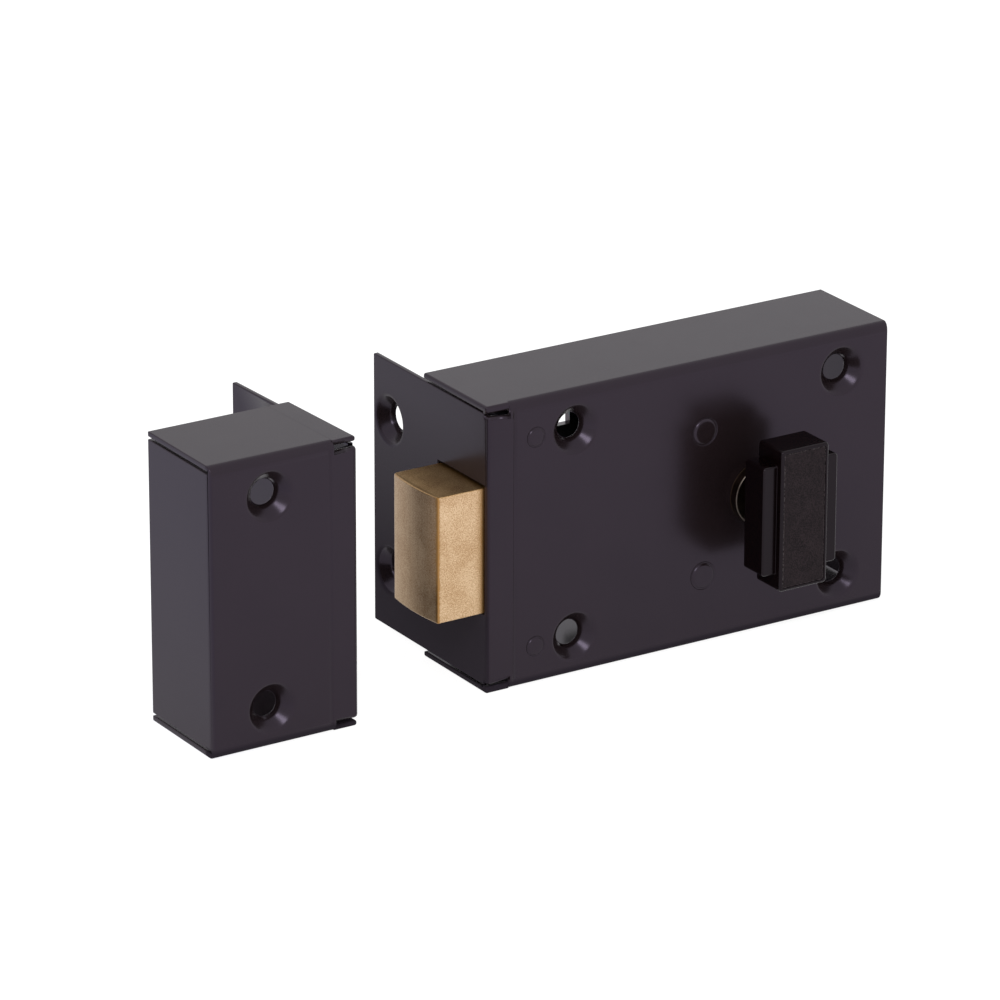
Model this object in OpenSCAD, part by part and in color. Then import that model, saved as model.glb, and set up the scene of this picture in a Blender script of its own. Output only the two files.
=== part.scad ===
// Rim box lock with a square bolt, a turn knob and a box keeper.
// The origin lies on the knob's axis, in the plane of the door's face.
// +X runs away from the door's edge, +Y into the door and +Z up.
// A depth is measured from the front of the case towards the door.

/* [Case] */
// Length of the case along the door
case_l = 87; // [84:0.5:100]
// Height of the case and of the keeper
case_h = 55; // [54:0.5:70]
// Distance from the door's face to the front of the case
case_d = 22; // [21.5:0.5:28]
// Thickness of the folded sheet
sheet_t = 1; // [0.8:0.1:1.2]
// Outside radius of the sheet's folds
fold_r = 1.8; // [1.4:0.1:2.4]
// Distance from the door's edge to the knob's axis
backset = 58; // [57:0.5:62]
// How far the flanges reach past the door's face
flange_reach = 17.3; // [16:0.1:25]
// Open gap between the flanged wall and the top and bottom
relief_gap = 0.6; // [0.4:0.1:1.4]
// Length of the relief slot on the face at the flanged corners
relief_l = 4.8; // [3.5:0.1:6]
// Seam between the end wall and the top and bottom
seam_gap = 0.25; // [0.15:0.05:0.4]
// Distance from the forend to the groove beside the fold
groove_x = 5.7; // [5.2:0.1:7]
// Width of that groove
groove_w = 0.9; // [0.6:0.1:1.2]
// Depth of that groove
groove_t = 0.15; // [0.1:0.05:0.3]

/* [Keeper] */
// Width of the keeper along the door frame
keeper_w = 29.8; // [27:0.1:40]
// Gap between the keeper and the forend as they stand here
keeper_gap = 27; // [20:0.1:60]
// Distance from the keeper's outer side to its face screws
keeper_screw_x = 11.9; // [10:0.1:16]
// Clearance round the bolt in the keeper's mouth
mouth_clear = 1.5; // [0.8:0.1:2.5]

/* [Screw holes] */
// Radius of the screw holes
hole_r = 2.5; // [2:0.1:3]
// Radius of the pressed countersink at the surface
dimple_r = 4.6; // [4:0.1:5.2]
// Depth of the pressed countersink
dimple_t = 2; // [1.5:0.1:2.5]
// Spacing of the face screws along the case
screw_span_x = 58; // [56:0.5:60]
// Distance from the top and the bottom to the face screws
screw_edge = 7.5; // [7:0.5:9]
// Distance from the forend to the first face screws
screw_x = 18.5; // [17.5:0.5:20]
// Spacing of the flange screws in height
flange_span_z = 29.4; // [26:0.2:34]
// Distance from the door's face to the flange screws
flange_screw_y = 11.9; // [9:0.1:12.5]

/* [Bolt] */
// Height of the bolt
bolt_h = 24.1; // [20:0.1:25]
// Thickness of the bolt
bolt_t = 15.2; // [13:0.1:16]
// Gap between the front of the case and the bolt
bolt_depth = 1.5; // [1.3:0.1:2.5]
// How far the bolt's corners stand out when thrown
bolt_out = 9.7; // [8:0.1:10]
// How far the nose is crowned beyond its corners
nose_crown = 1.5; // [0.5:0.1:2]
// Length of the bolt's block inside the case
bolt_in = 16; // [14:0.5:18]
// Clearance round the bolt in the forend
bolt_clear = 0.35; // [0.2:0.05:0.6]
// Running clearance of the bolt in its guide
guide_clear = 0.15; // [0.1:0.05:0.3]
// Thickness of the tail plate
tail_t = 3; // [2.5:0.1:3.5]
// Length of the tail plate's tongue in the bolt
tail_tongue = 12; // [10:0.5:13]
// Radius of the rivets through bolt and tail
bolt_rivet_r = 1.5; // [1:0.1:2]
// Spacing of those rivets
bolt_rivet_span = 12; // [10:0.5:14]

/* [Mechanism] */
// Thickness of the back plate and of the bolt guide
plate_t = 1.5; // [1.2:0.1:2]
// Gap between the back plate and the top and bottom of the case
plate_gap = 3.3; // [3:0.1:4]
// Distance from the forend to the left pillars
left_post_x = 10.1; // [9.5:0.1:11]
// Distance from the top and the bottom of the case to the left pillars
left_post_edge = 7.4; // [7:0.1:8]
// Radius of the left pillars
left_post_r = 3; // [2.6:0.1:3.3]
// Radius of the left pillars' staked ends
left_tenon_r = 1.75; // [1.5:0.05:2]
// Distance from the forend to the mid pillars
mid_post_x = 46.4; // [45.5:0.1:47]
// Spacing of the mid pillars
mid_post_span = 28.1; // [27:0.1:29]
// Radius of the mid pillars
mid_post_r = 3.7; // [3.4:0.1:4]
// Radius of the mid pillars at the groove that guides the tail
mid_groove_r = 3; // [2.8:0.1:3.2]
// Radius of the mid pillars' staked ends
mid_tenon_r = 2.5; // [2:0.1:2.7]
// Running clearance of the tail between the pillars
tail_clear = 0.15; // [0.1:0.05:0.25]
// Radius of the crank pin
pin_r = 1.5; // [1.2:0.1:1.6]
// Clearance on each side of the crank pin in the talon
talon_clear = 0.35; // [0.3:0.05:0.45]
// Running clearance of the turning parts, on the radius
run_clear = 0.05; // [0.02:0.01:0.08]

/* [Hub] */
// Depth of the front of the crank arm
arm_d = 4.4; // [4.2:0.1:4.6]
// Thickness of the crank arm
arm_t = 2.8; // [2.4:0.1:2.9]
// Radius of the hub's boss
boss_r = 5.2; // [4.8:0.1:5.4]
// Radius of the hub where it passes through the tail
barrel_r = 3.6; // [3.4:0.1:3.8]
// Half width of the square cam
cam_half = 4.2; // [4:0.1:4.4]
// Radius that cuts the cam's corners
cam_r = 5.4; // [5:0.1:5.6]
// Length of the square cam
cam_l = 4; // [3.8:0.1:4.2]
// Radius of the journal in the back plate
journal_r = 4.5; // [4.2:0.1:4.7]
// Width of the slot for an outside cylinder's flat tail
slot_w = 2.4; // [1.8:0.1:2.8]
// Height of that slot
slot_h = 7.6; // [6:0.1:8]
// Depth of that slot
slot_t = 6; // [5:0.1:7]
// Radius of the thrust washer
washer_r = 7.5; // [6.5:0.1:8.5]
// Thickness of the thrust washer
washer_t = 0.75; // [0.6:0.05:0.8]
// Thickness of the leaf spring
spring_t = 0.4; // [0.3:0.05:0.5]
// Width of the leaf spring
spring_w = 3.4; // [2.6:0.1:3.6]
// Distance from the hub to the leaf spring's riveted end
spring_l = 24; // [22:0.5:25]
// Length of the lug that carries the leaf spring
lug_l = 8; // [7:0.5:9]

/* [Knob] */
// How far the knob stands out from the case
knob_out = 15.3; // [14:0.1:20]
// Gap between the case and the knob's grip
knob_gap = 8; // [7:0.1:9]
// Width of the knob's bar
bar_w = 10.4; // [8.5:0.1:12]
// Height of the knob's bar
bar_h = 27.2; // [24:0.1:32]
// Width across the knob's wings
wing_w = 16.3; // [14.5:0.1:19]
// Height of the knob's wings
wing_h = 21; // [18:0.1:23]
// Step from the bar's front down to the wings
wing_step = 1.4; // [0.8:0.1:2.5]
// Corner radius of bar and wings
knob_corner = 0.8; // [0.4:0.1:1.5]
// Radius of the knob's neck
neck_r = 3.6; // [3.4:0.1:3.8]
// Margin round the knob's panel
panel_margin = 0.9; // [0.6:0.1:1.5]
// Thickness of the knob's panel
panel_t = 0.6; // [0.4:0.1:1]
// Width of the square spindle
spindle_w = 4; // [3.6:0.1:4.2]
// Radius of the collar on the face
collar_r = 5.8; // [5.5:0.1:7]
// How far the collar stands out
collar_out = 1.9; // [1:0.1:3]
// Radius of the collar's barrel in the face
bush_r = 5; // [4.7:0.1:5.2]

/* [Hidden] */
$fn = 48;
eps = 0.01;

// Finishes, as plain colours
paint = [0.16, 0.14, 0.16];
brass = [0.78, 0.62, 0.36];
zinc = [0.72, 0.74, 0.75];
steel = [0.55, 0.56, 0.58];
plastic = [0.12, 0.09, 0.09];
speckle = [0.20, 0.17, 0.17];

// The case and the keeper
forend_x = -backset;
end_x = forend_x + case_l;
half_h = case_h / 2;
wall_half = half_h - sheet_t - relief_gap;
keeper_end_x = forend_x - keeper_gap;
keeper_x = keeper_end_x - keeper_w;
first_screw_x = forend_x + screw_x;
screw_half_z = half_h - screw_edge;
left_post_z = half_h - left_post_edge;
boss_wall = 0.6 * sheet_t;
dimple_end = dimple_t + sheet_t;

// Travel: the nose's crown ends flush with the forend, after a quarter turn of the hub
travel = bolt_out + nose_crown;
crank_r = travel / sqrt(2);
nose_r = (pow(bolt_t / 2, 2) + pow(nose_crown, 2)) / (2 * nose_crown);

// The tail plate lies in the middle of the bolt's thickness
tail_d = bolt_depth + (bolt_t - tail_t) / 2;
tail_end_d = tail_d + tail_t;
tail_h = mid_post_span - 2 * (mid_groove_r + tail_clear);
tail_x = forend_x + bolt_in - tail_tongue;
window_r = barrel_r + 0.3;
tail_bar = 6;
tail_end_x = window_r + tail_bar;
groove_clear = 0.3;

// The bolt guide reaches this far past the pillars, and its tabs start this far from the bolt
guide_margin = 0.6;
tab_gap = 3;

// The back plate: its bar at the left pillars, its neck, and its field from the first screws on
bar_margin = 1.5;
neck_inset = 1.7;
field_from_screw = 11.9;
lug_clear = 0.5;
lug_window_h = 9;

// Depths of the hub's steps
barrel_d = arm_d + arm_t;
cam_d = tail_end_d + 1.3;
shoulder_d = cam_d + cam_l;
plate_d = case_d - plate_t;
journal_d = plate_d - washer_t - run_clear;
hub_end_d = case_d - 0.1;
arm_boss_r = pin_r + 1.4;
pin_end_d = tail_end_d + 0.6;
pin_x = -crank_r * sin(45);
pin_z = crank_r * cos(45);
hub_pin_r = 0.8;

// The collar and its nut
bush_end_d = arm_d - 0.4;
nut_flats = 13;
nut_t = 2.2;
thread_clear = 0.02;

// The leaf spring on its lug
spring_z = -cam_half - spring_t;
spring_d = cam_d + (cam_l - spring_w) / 2;
spring_tip = 4.5;
spring_tip_l = 2.5;
spring_tip_angle = 40;
lug_d = spring_d - 0.6;
spring_rivet_r = 0.8;
spring_rivet_head = 0.6;
spring_rivet_head_r = 1.35;
spring_rivet_edge = 2;

// The spindle, held to the knob by its screw
knob_screw_head_r = 2.2;
knob_screw_head_t = 1.4;
knob_screw_r = 1.2;
knob_screw_l = 6;
knob_screw_clear = 0.15;
driver_slot_w = 0.6;
driver_slot_t = 0.7;
knob_web = 1.8;
panel_d = -knob_out + panel_t;
screw_seat_d = panel_d + knob_screw_head_t;
spindle_d = screw_seat_d + knob_web;
spindle_end_d = cam_d + 1.5;
neck_end_d = arm_d - 0.2;

// A round bar along the depth
module rod(x, z, r, from_d, to_d) {
  translate([x, from_d - case_d, z]) rotate([-90, 0, 0]) cylinder(h = to_d - from_d, r = r);
}

// A flat block between two depths
module slab(x0, x1, z0, z1, from_d, to_d) {
  translate([x0, from_d - case_d, z0]) cube([x1 - x0, to_d - from_d, z1 - z0]);
}

// A rectangle with round corners, centred on the axis and drawn out along the depth
module round_slab(w, h, r, from_d, to_d) {
  slab(-w / 2 + r, w / 2 - r, -h / 2, h / 2, from_d, to_d);
  slab(-w / 2, w / 2, -h / 2 + r, h / 2 - r, from_d, to_d);
  for (x = [-w / 2 + r, w / 2 - r], z = [-h / 2 + r, h / 2 - r]) rod(x, z, r, from_d, to_d);
}

// A rectangle whose two front corners are folds of radius r
module fold_outline(side0, side1, front, back, r) {
  translate([side0, front + r]) square([side1 - side0, back - front - r]);
  translate([side0 + r, front]) square([side1 - side0 - 2 * r, back - front]);
  for (s = [side0 + r, side1 - r]) translate([s, front + r]) circle(r);
}

// The space inside the folds, one sheet further in for each sheet of inset
module box_form(x0, x1, inset, back) {
  r = fold_r - inset;
  side = half_h - inset;
  intersection() {
    translate([0, 0, -side]) linear_extrude(2 * side)
      fold_outline(x0 + inset, x1 - inset, -case_d + inset, back, r);
    translate([x1 - inset, 0, 0]) rotate([0, -90, 0]) linear_extrude(x1 - x0 - 2 * inset)
      fold_outline(-side, side, -case_d + inset, back, r);
  }
}

// A box of folded sheet, open towards the door
module folded_box(x0, x1) {
  difference() {
    box_form(x0, x1, 0, 0);
    box_form(x0, x1, sheet_t, 1);
  }
}

// Material pushed in round a countersunk hole, from the sheet's outer surface along +Z
module dimple_boss() {
  rotate_extrude() polygon([[0, sheet_t / 2], [dimple_r + sheet_t / 2, sheet_t / 2],
    [hole_r + boss_wall, dimple_end], [0, dimple_end]]);
}

// The countersink and its hole
module dimple_cut() {
  rotate_extrude() polygon([[0, -1], [dimple_r, -1], [dimple_r, 0], [hole_r, dimple_t],
    [hole_r, dimple_end + 1], [0, dimple_end + 1]]);
}

// Puts its children on the face, pointing into the case
module on_face(x, z) {
  translate([x, -case_d, z]) rotate([-90, 0, 0]) children();
}

// Puts its children at both screws of a flange, whose outer side faces side * X
module on_flange(x, side) {
  for (z = [-flange_span_z / 2, flange_span_z / 2])
    translate([x, flange_screw_y, z]) rotate([0, -90 * side, 0]) children();
}

// The four face screws of the case
module at_face_screws() {
  for (x = [first_screw_x, first_screw_x + screw_span_x], z = [-screw_half_z, screw_half_z])
    on_face(x, z) children();
}

// The two face screws of the keeper
module at_keeper_screws() {
  for (z = [-screw_half_z, screw_half_z]) on_face(keeper_x + keeper_screw_x, z) children();
}

// The wall that runs on past the door's face, its outer plane at x and its thickness towards side
module flange_wall(x, side) {
  translate([side > 0 ? x : x - sheet_t, -case_d + fold_r, -wall_half])
    cube([sheet_t, case_d - fold_r + flange_reach, 2 * wall_half]);
}

// The gap above and below a wall, and its slot round the corner onto the face
module wall_gaps(x, side, gap, slot_l) {
  for (m = [0, 1]) mirror([0, 0, m]) translate([0, 0, half_h - sheet_t - gap]) {
    translate([side > 0 ? x - 1 : x - sheet_t - eps, -case_d - 1, 0])
      cube([sheet_t + 1 + eps, case_d + 2, gap]);
    if (slot_l > 0) {
      translate([side > 0 ? x : x - slot_l + gap / 2, -case_d - 1, 0])
        cube([slot_l - gap / 2, fold_r + 1, gap]);
      translate([x + side * (slot_l - gap / 2), -case_d - 1, gap / 2]) rotate([-90, 0, 0])
        cylinder(h = fold_r + 1, d = gap);
    }
  }
}

// The shallow line pressed into the face beside the flanged fold
module face_groove(x) {
  slab(x - groove_w / 2, x + groove_w / 2, -half_h - 1, half_h + 1, -1, groove_t);
}

module case_cover() {
  color(paint) difference() {
    union() {
      folded_box(forend_x, end_x);
      flange_wall(forend_x, 1);
      at_face_screws() dimple_boss();
      on_flange(forend_x, -1) dimple_boss();
    }
    wall_gaps(forend_x, 1, relief_gap, relief_l);
    wall_gaps(end_x, -1, seam_gap, 0);
    face_groove(forend_x + groove_x);
    at_face_screws() dimple_cut();
    on_flange(forend_x, -1) dimple_cut();
    slab(forend_x - 1, forend_x + sheet_t + 1, -bolt_h / 2 - bolt_clear, bolt_h / 2 + bolt_clear,
      bolt_depth - bolt_clear, bolt_depth + bolt_t + bolt_clear);
    rod(0, 0, bush_r + run_clear, -1, sheet_t + 1);
    for (s = [-1, 1]) {
      rod(forend_x + left_post_x, s * left_post_z, left_tenon_r, -1, sheet_t + 1);
      rod(forend_x + mid_post_x, s * mid_post_span / 2, mid_tenon_r, -1, sheet_t + 1);
    }
  }
}

module keeper_cover() {
  mouth_half = bolt_h / 2 + mouth_clear;
  color(paint) difference() {
    union() {
      folded_box(keeper_x, keeper_end_x);
      flange_wall(keeper_end_x, -1);
      at_keeper_screws() dimple_boss();
      on_flange(keeper_end_x, 1) dimple_boss();
    }
    wall_gaps(keeper_end_x, -1, relief_gap, relief_l);
    wall_gaps(keeper_x, 1, relief_gap, 0);
    face_groove(keeper_end_x - groove_x);
    at_keeper_screws() dimple_cut();
    on_flange(keeper_end_x, 1) dimple_cut();
    slab(keeper_end_x - sheet_t - 1, keeper_end_x + 1, -mouth_half, mouth_half,
      sheet_t, bolt_depth + bolt_t + mouth_clear);
  }
}

// The plate that carries the mechanism: a bar at the left pillars, a neck and the main field
module back_plate() {
  plate_half = half_h - sheet_t - plate_gap;
  bar_half = left_post_r + bar_margin;
  post_x = forend_x + left_post_x;
  field_x = first_screw_x + field_from_screw;
  field_end_x = first_screw_x + screw_span_x - dimple_r;
  neck_half = mid_post_span / 2 - neck_inset;
  lug_top = spring_z;
  color(zinc) {
    difference() {
      union() {
        slab(post_x - bar_half, post_x + bar_half, -plate_half, plate_half, plate_d, case_d);
        slab(post_x, field_x + 1, -neck_half, neck_half, plate_d, case_d);
        slab(field_x, field_end_x, -plate_half, plate_half, plate_d, case_d);
      }
      rod(0, 0, journal_r + run_clear, plate_d - 1, case_d + 1);
      slab(-spring_l - lug_clear, -spring_l + lug_l + lug_clear, lug_top, lug_top + lug_window_h,
        plate_d - 1, case_d + 1);
      for (s = [-1, 1]) {
        rod(post_x, s * left_post_z, left_tenon_r, plate_d - 1, case_d + 1);
        rod(forend_x + mid_post_x, s * mid_post_span / 2, left_tenon_r, plate_d - 1, case_d + 1);
      }
    }
    difference() {
      slab(-spring_l, -spring_l + lug_l, lug_top - plate_t, lug_top, lug_d, case_d - plate_t / 2);
      at_spring_rivets() cylinder(h = 4 * plate_t, r = spring_rivet_r, center = true);
    }
  }
}

// The bracket in which the bolt slides, bent round at both ends under the left pillars
module bolt_guide() {
  guide_half = left_post_z + left_post_r + guide_margin;
  tab_half = bolt_h / 2 + tab_gap;
  x0 = forend_x + sheet_t;
  x1 = forend_x + left_post_x + left_post_r + guide_margin;
  end_d = plate_d - guide_margin / 2;
  color(zinc) difference() {
    union() {
      slab(x0, x0 + plate_t, -guide_half, guide_half, sheet_t, end_d);
      for (s = [-1, 1]) slab(x0, x1, min(s * tab_half, s * guide_half), max(s * tab_half, s * guide_half),
        sheet_t, sheet_t + plate_t);
    }
    slab(x0 - 1, x0 + plate_t + 1, -bolt_h / 2 - guide_clear, bolt_h / 2 + guide_clear,
      sheet_t - 1, bolt_depth + bolt_t + guide_clear);
    // Room for the sheet pushed in by the fold's radius
    slab(x0 - 1, x0 + fold_r - sheet_t, -guide_half - 1, guide_half + 1, sheet_t - 1, fold_r);
    for (s = [-1, 1]) rod(forend_x + left_post_x, s * left_post_z, left_tenon_r, 0, case_d);
  }
}

// A turned pillar with a staked end at the front and at the back
module pillar(x, z, front_r, body_r, from_d) {
  rod(x, z, front_r, 0, from_d + eps);
  rod(x, z, body_r, from_d, plate_d);
  rod(x, z, left_tenon_r, plate_d - eps, case_d);
}

module left_posts() {
  color(steel) for (s = [-1, 1])
    pillar(forend_x + left_post_x, s * left_post_z, left_tenon_r, left_post_r, sheet_t + plate_t);
}

// The mid pillars have a groove in which the tail's edges run
module mid_posts() {
  color(steel) for (s = [-1, 1]) {
    x = forend_x + mid_post_x;
    z = s * mid_post_span / 2;
    difference() {
      pillar(x, z, mid_tenon_r, mid_post_r, sheet_t);
      difference() {
        rod(x, z, mid_post_r + 1, tail_d - groove_clear, tail_end_d + groove_clear);
        rod(x, z, mid_groove_r, tail_d - 1, tail_end_d + 1);
      }
    }
  }
}

module knob_bush() {
  color(brass) difference() {
    union() {
      rod(0, 0, collar_r, -collar_out, 0);
      rod(0, 0, bush_r, -eps, bush_end_d);
    }
    rod(0, 0, neck_r + run_clear, -collar_out - 1, bush_end_d + 1);
  }
}

module bush_nut() {
  color(zinc) difference() {
    translate([0, sheet_t - case_d, 0]) rotate([-90, 0, 0])
      cylinder(h = nut_t, d = nut_flats / cos(30), $fn = 6);
    rod(0, 0, bush_r + thread_clear, 0, arm_d);
  }
}

// A flat ring between two depths
module ring(r, bore_r, from_d, to_d) {
  difference() {
    rod(0, 0, r, from_d, to_d);
    rod(0, 0, bore_r, from_d - 1, to_d + 1);
  }
}

module spring_washer() {
  color(steel) ring(bush_r, neck_r + 0.1, bush_end_d + 0.02, arm_d - 0.03);
}

module hub_washer() {
  color(steel) ring(washer_r, journal_r + 0.1, plate_d - washer_t, plate_d);
}

// Places its children at the leaf spring's rivets, along Z
module at_spring_rivets() {
  for (x = [-spring_l + spring_rivet_edge, -spring_l + lug_l - spring_rivet_edge])
    translate([x, spring_d + spring_w / 2 - case_d, spring_z]) children();
}

// The leaf spring lies on its lug and under the cam's flat, with a turned-down tip
module detent_spring() {
  color(steel) difference() {
    union() {
      slab(-spring_l, spring_tip, spring_z, spring_z + spring_t, spring_d, spring_d + spring_w);
      translate([spring_tip, spring_d - case_d, spring_z + spring_t]) rotate([0, spring_tip_angle, 0])
        translate([-spring_t / 2, 0, -spring_t]) cube([spring_tip_l, spring_w, spring_t]);
    }
    at_spring_rivets() cylinder(h = 4 * plate_t, r = spring_rivet_r, center = true);
  }
}

module spring_rivets() {
  color(zinc) at_spring_rivets() {
    translate([0, 0, -plate_t - spring_rivet_head])
      cylinder(h = plate_t + spring_t + 2 * spring_rivet_head, r = spring_rivet_r);
    for (z = [-plate_t - spring_rivet_head, spring_t]) translate([0, 0, z])
      cylinder(h = spring_rivet_head, r = spring_rivet_head_r);
  }
}

// The brass block: its nose is an arc seen from above, its rear is slotted for the tail
module bolt_head() {
  mid_d = bolt_depth + bolt_t / 2;
  nose_x = forend_x - travel + nose_r;
  end = forend_x + bolt_in;
  color(brass) difference() {
    intersection() {
      slab(forend_x - travel - 1, end, -bolt_h / 2, bolt_h / 2, bolt_depth, bolt_depth + bolt_t);
      union() {
        translate([nose_x, mid_d - case_d, 0]) cylinder(h = bolt_h, r = nose_r, center = true, $fn = 96);
        slab(forend_x, end, -bolt_h, bolt_h, 0, bolt_depth + bolt_t + 1);
      }
    }
    slab(tail_x, end + 1, -tail_h / 2, tail_h / 2, tail_d, tail_end_d);
    at_bolt_rivets() rod(0, 0, bolt_rivet_r, 0, case_d);
  }
}

// Places its children at the rivets through bolt and tail
module at_bolt_rivets() {
  for (s = [-1, 1]) translate([tail_x + tail_tongue / 2, 0, s * bolt_rivet_span / 2]) children();
}

module bolt_tail() {
  color(steel) difference() {
    slab(tail_x, tail_end_x, -tail_h / 2, tail_h / 2, tail_d, tail_end_d);
    slab(-travel, 0, -window_r, window_r, tail_d - 1, tail_end_d + 1);
    for (x = [-travel, 0]) rod(x, 0, window_r, tail_d - 1, tail_end_d + 1);
    slab(pin_x - pin_r - talon_clear, pin_x + pin_r + talon_clear, 0, tail_h, tail_d - 1, tail_end_d + 1);
    at_bolt_rivets() rod(0, 0, bolt_rivet_r, 0, case_d);
  }
}

module bolt_rivets() {
  color(brass) at_bolt_rivets() rod(0, 0, bolt_rivet_r, bolt_depth, bolt_depth + bolt_t);
}

// The hub in the thrown position, with its arm at 45 degrees
module drive_hub() {
  color(zinc) difference() {
    union() {
      rod(0, 0, boss_r, arm_d, barrel_d);
      rod(pin_x, pin_z, arm_boss_r, arm_d, barrel_d);
      translate([0, arm_d - case_d, 0]) rotate([0, -45, 0]) translate([-arm_boss_r, 0, 0])
        cube([2 * arm_boss_r, arm_t, crank_r]);
      rod(0, 0, barrel_r, barrel_d - eps, cam_d + eps);
      intersection() {
        slab(-cam_half, cam_half, -cam_half, cam_half, cam_d, shoulder_d);
        rod(0, 0, cam_r, cam_d - 1, shoulder_d + 1);
      }
      rod(0, 0, boss_r, shoulder_d - eps, journal_d);
      rod(0, 0, journal_r, journal_d - eps, hub_end_d);
    }
    slab(-spindle_w / 2 - run_clear, spindle_w / 2 + run_clear, -spindle_w / 2 - run_clear,
      spindle_w / 2 + run_clear, arm_d - 1, spindle_end_d + 0.3);
    slab(-slot_w / 2, slot_w / 2, -slot_h / 2, slot_h / 2, hub_end_d - slot_t, case_d + 1);
    rod(pin_x, pin_z, pin_r, arm_d - 1, barrel_d + 1);
    cross_pin(2 * boss_r + 2);
  }
}

// The line of the cross pin, square to the arm
module cross_pin(length) {
  translate([0, arm_d + arm_t / 2 - case_d, 0]) rotate([0, 45, 0])
    cylinder(h = length, r = hub_pin_r, center = true);
}

module crank_pin() {
  color(steel) rod(pin_x, pin_z, pin_r, arm_d, pin_end_d);
}

module spindle_pin() {
  color(steel) cross_pin(2 * boss_r - 0.4);
}

module knob_spindle() {
  color(steel) difference() {
    slab(-spindle_w / 2, spindle_w / 2, -spindle_w / 2, spindle_w / 2, spindle_d, spindle_end_d);
    rod(0, 0, knob_screw_r + thread_clear, spindle_d - 1, spindle_d + knob_screw_l + 0.5);
    cross_pin(2 * boss_r);
  }
}

// The grip is a bar between two lower wings, on a round neck
module knob_body() {
  color(plastic) difference() {
    union() {
      round_slab(bar_w, bar_h, knob_corner, -knob_out, -knob_gap);
      round_slab(wing_w, wing_h, knob_corner, -knob_out + wing_step, -knob_gap);
      rod(0, 0, neck_r, -knob_gap - eps, neck_end_d);
    }
    round_slab(bar_w - 2 * panel_margin, bar_h - 2 * panel_margin, knob_corner / 2, -knob_out - 1, panel_d);
    rod(0, 0, knob_screw_head_r + knob_screw_clear, panel_d - eps, screw_seat_d);
    rod(0, 0, knob_screw_r + knob_screw_clear, panel_d, spindle_d + eps);
    slab(-spindle_w / 2 - run_clear, spindle_w / 2 + run_clear, -spindle_w / 2 - run_clear,
      spindle_w / 2 + run_clear, spindle_d, arm_d);
  }
}

module knob_panel() {
  color(speckle) round_slab(bar_w - 2 * panel_margin - 0.1, bar_h - 2 * panel_margin - 0.1,
    knob_corner / 2, -knob_out + 0.05, panel_d);
}

module knob_screw() {
  color(steel) difference() {
    union() {
      rod(0, 0, knob_screw_head_r, panel_d + 0.1, screw_seat_d);
      rod(0, 0, knob_screw_r, screw_seat_d - eps, spindle_d + knob_screw_l);
    }
    slab(-driver_slot_w / 2, driver_slot_w / 2, -knob_screw_head_r, knob_screw_head_r,
      panel_d - 1, panel_d + 0.1 + driver_slot_t);
  }
}

case_cover();
back_plate();
bolt_guide();
left_posts();
mid_posts();
knob_bush();
bush_nut();
spring_washer();
hub_washer();
detent_spring();
spring_rivets();
keeper_cover();
bolt_head();
bolt_tail();
bolt_rivets();
drive_hub();
crank_pin();
knob_spindle();
spindle_pin();
knob_body();
knob_panel();
knob_screw();
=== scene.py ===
import math
import bmesh
import bpy
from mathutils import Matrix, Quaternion, Vector


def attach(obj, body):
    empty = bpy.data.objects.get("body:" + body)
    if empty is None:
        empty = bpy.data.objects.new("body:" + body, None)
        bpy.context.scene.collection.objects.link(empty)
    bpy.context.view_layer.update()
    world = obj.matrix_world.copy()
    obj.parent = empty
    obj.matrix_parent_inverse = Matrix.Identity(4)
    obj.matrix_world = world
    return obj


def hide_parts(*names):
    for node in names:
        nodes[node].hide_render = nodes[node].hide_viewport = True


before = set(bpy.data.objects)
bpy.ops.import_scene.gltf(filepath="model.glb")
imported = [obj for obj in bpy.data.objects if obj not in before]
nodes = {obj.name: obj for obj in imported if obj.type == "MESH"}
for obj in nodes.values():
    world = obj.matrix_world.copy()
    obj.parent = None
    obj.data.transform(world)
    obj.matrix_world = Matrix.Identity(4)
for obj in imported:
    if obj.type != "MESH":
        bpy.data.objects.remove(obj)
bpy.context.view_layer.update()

print("frame loaded:", len(nodes), "nodes")

mm = 0.001  # Blender works in metres, the values below are in millimetres
mergeGap = 0.002 * mm
slack = 0.01  # how far a point may lie off the plane in which it is looked for
straight = 0.001  # how far an edge may drift from the axis along which it runs
past = 1  # how far a body reaches past what it cuts or into what it joins
margin = 0.5  # the same where there is less room
overlap = 0.1  # the same where it has to stay small
facing = 0.9  # least share of a normal along an axis for a face that looks that way
rearward = (0, 1, 0)

# Modelling helpers


def selectOnly(obj):
    bpy.ops.object.select_all(action="DESELECT")
    obj.select_set(True)
    bpy.context.view_layer.objects.active = obj


def place(obj):
    selectOnly(obj)
    bpy.ops.object.transform_apply(location=True, rotation=True, scale=True)
    return obj


def addBox(xs, ys, zs):
    low = Vector((min(xs), min(ys), min(zs))) * mm
    high = Vector((max(xs), max(ys), max(zs))) * mm
    bpy.ops.object.select_all(action="DESELECT")
    bpy.ops.mesh.primitive_cube_add(size=1, location=(low + high) / 2, scale=high - low)
    return place(bpy.context.object)


def addRod(centre, radius, ends, axis="Y", sides=64):
    # centre is given across the axis: x and z, y and z, or x and y
    middle = (ends[0] + ends[1]) / 2
    depth = abs(ends[1] - ends[0])
    a, b = centre
    spots = {"X": (middle, a, b), "Y": (a, middle, b), "Z": (a, b, middle)}
    turns = {"X": (0, math.pi / 2, 0), "Y": (math.pi / 2, 0, 0), "Z": (0, 0, 0)}
    bpy.ops.object.select_all(action="DESELECT")
    bpy.ops.mesh.primitive_cylinder_add(vertices=sides, radius=radius * mm, depth=depth * mm,
                                        location=Vector(spots[axis]) * mm, rotation=turns[axis])
    return place(bpy.context.object)


def startEdit(obj, kind="EDGE"):
    selectOnly(obj)
    bpy.ops.object.mode_set(mode="EDIT")
    bpy.ops.mesh.select_mode(type=kind)
    bpy.ops.mesh.select_all(action="DESELECT")


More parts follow.
